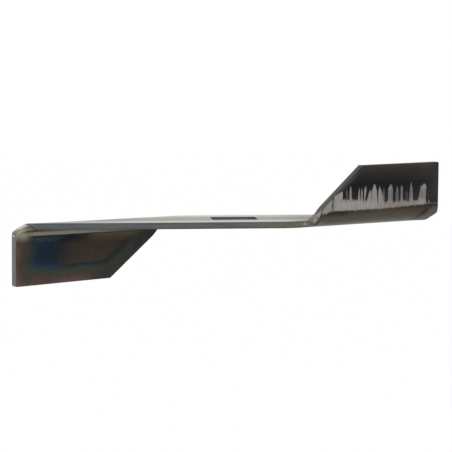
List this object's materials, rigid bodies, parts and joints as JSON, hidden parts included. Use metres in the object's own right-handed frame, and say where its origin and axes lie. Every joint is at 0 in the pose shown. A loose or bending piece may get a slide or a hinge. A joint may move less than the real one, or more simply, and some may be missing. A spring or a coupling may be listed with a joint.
{
  "type": "chopper knife",
  "caption": "Flat steel bar knife with a central square shaft hole and oblique blades folded up and down at its ends.",
  "frame": {"origin": "centre of the square hole, halfway through the plate", "axes": "+X along the bar to the wing that stands up, +Z along the shaft through the square hole"},
  "size_m": [0.3104, 0.0824, 0.082],
  "materials": {
    "plate_steel": "dark heat-treated mill finish with blue and brown heat tints"
  },
  "bodies": {
    "root": {"chopper_knife": "plate_steel"}
  },
  "joints": []
}
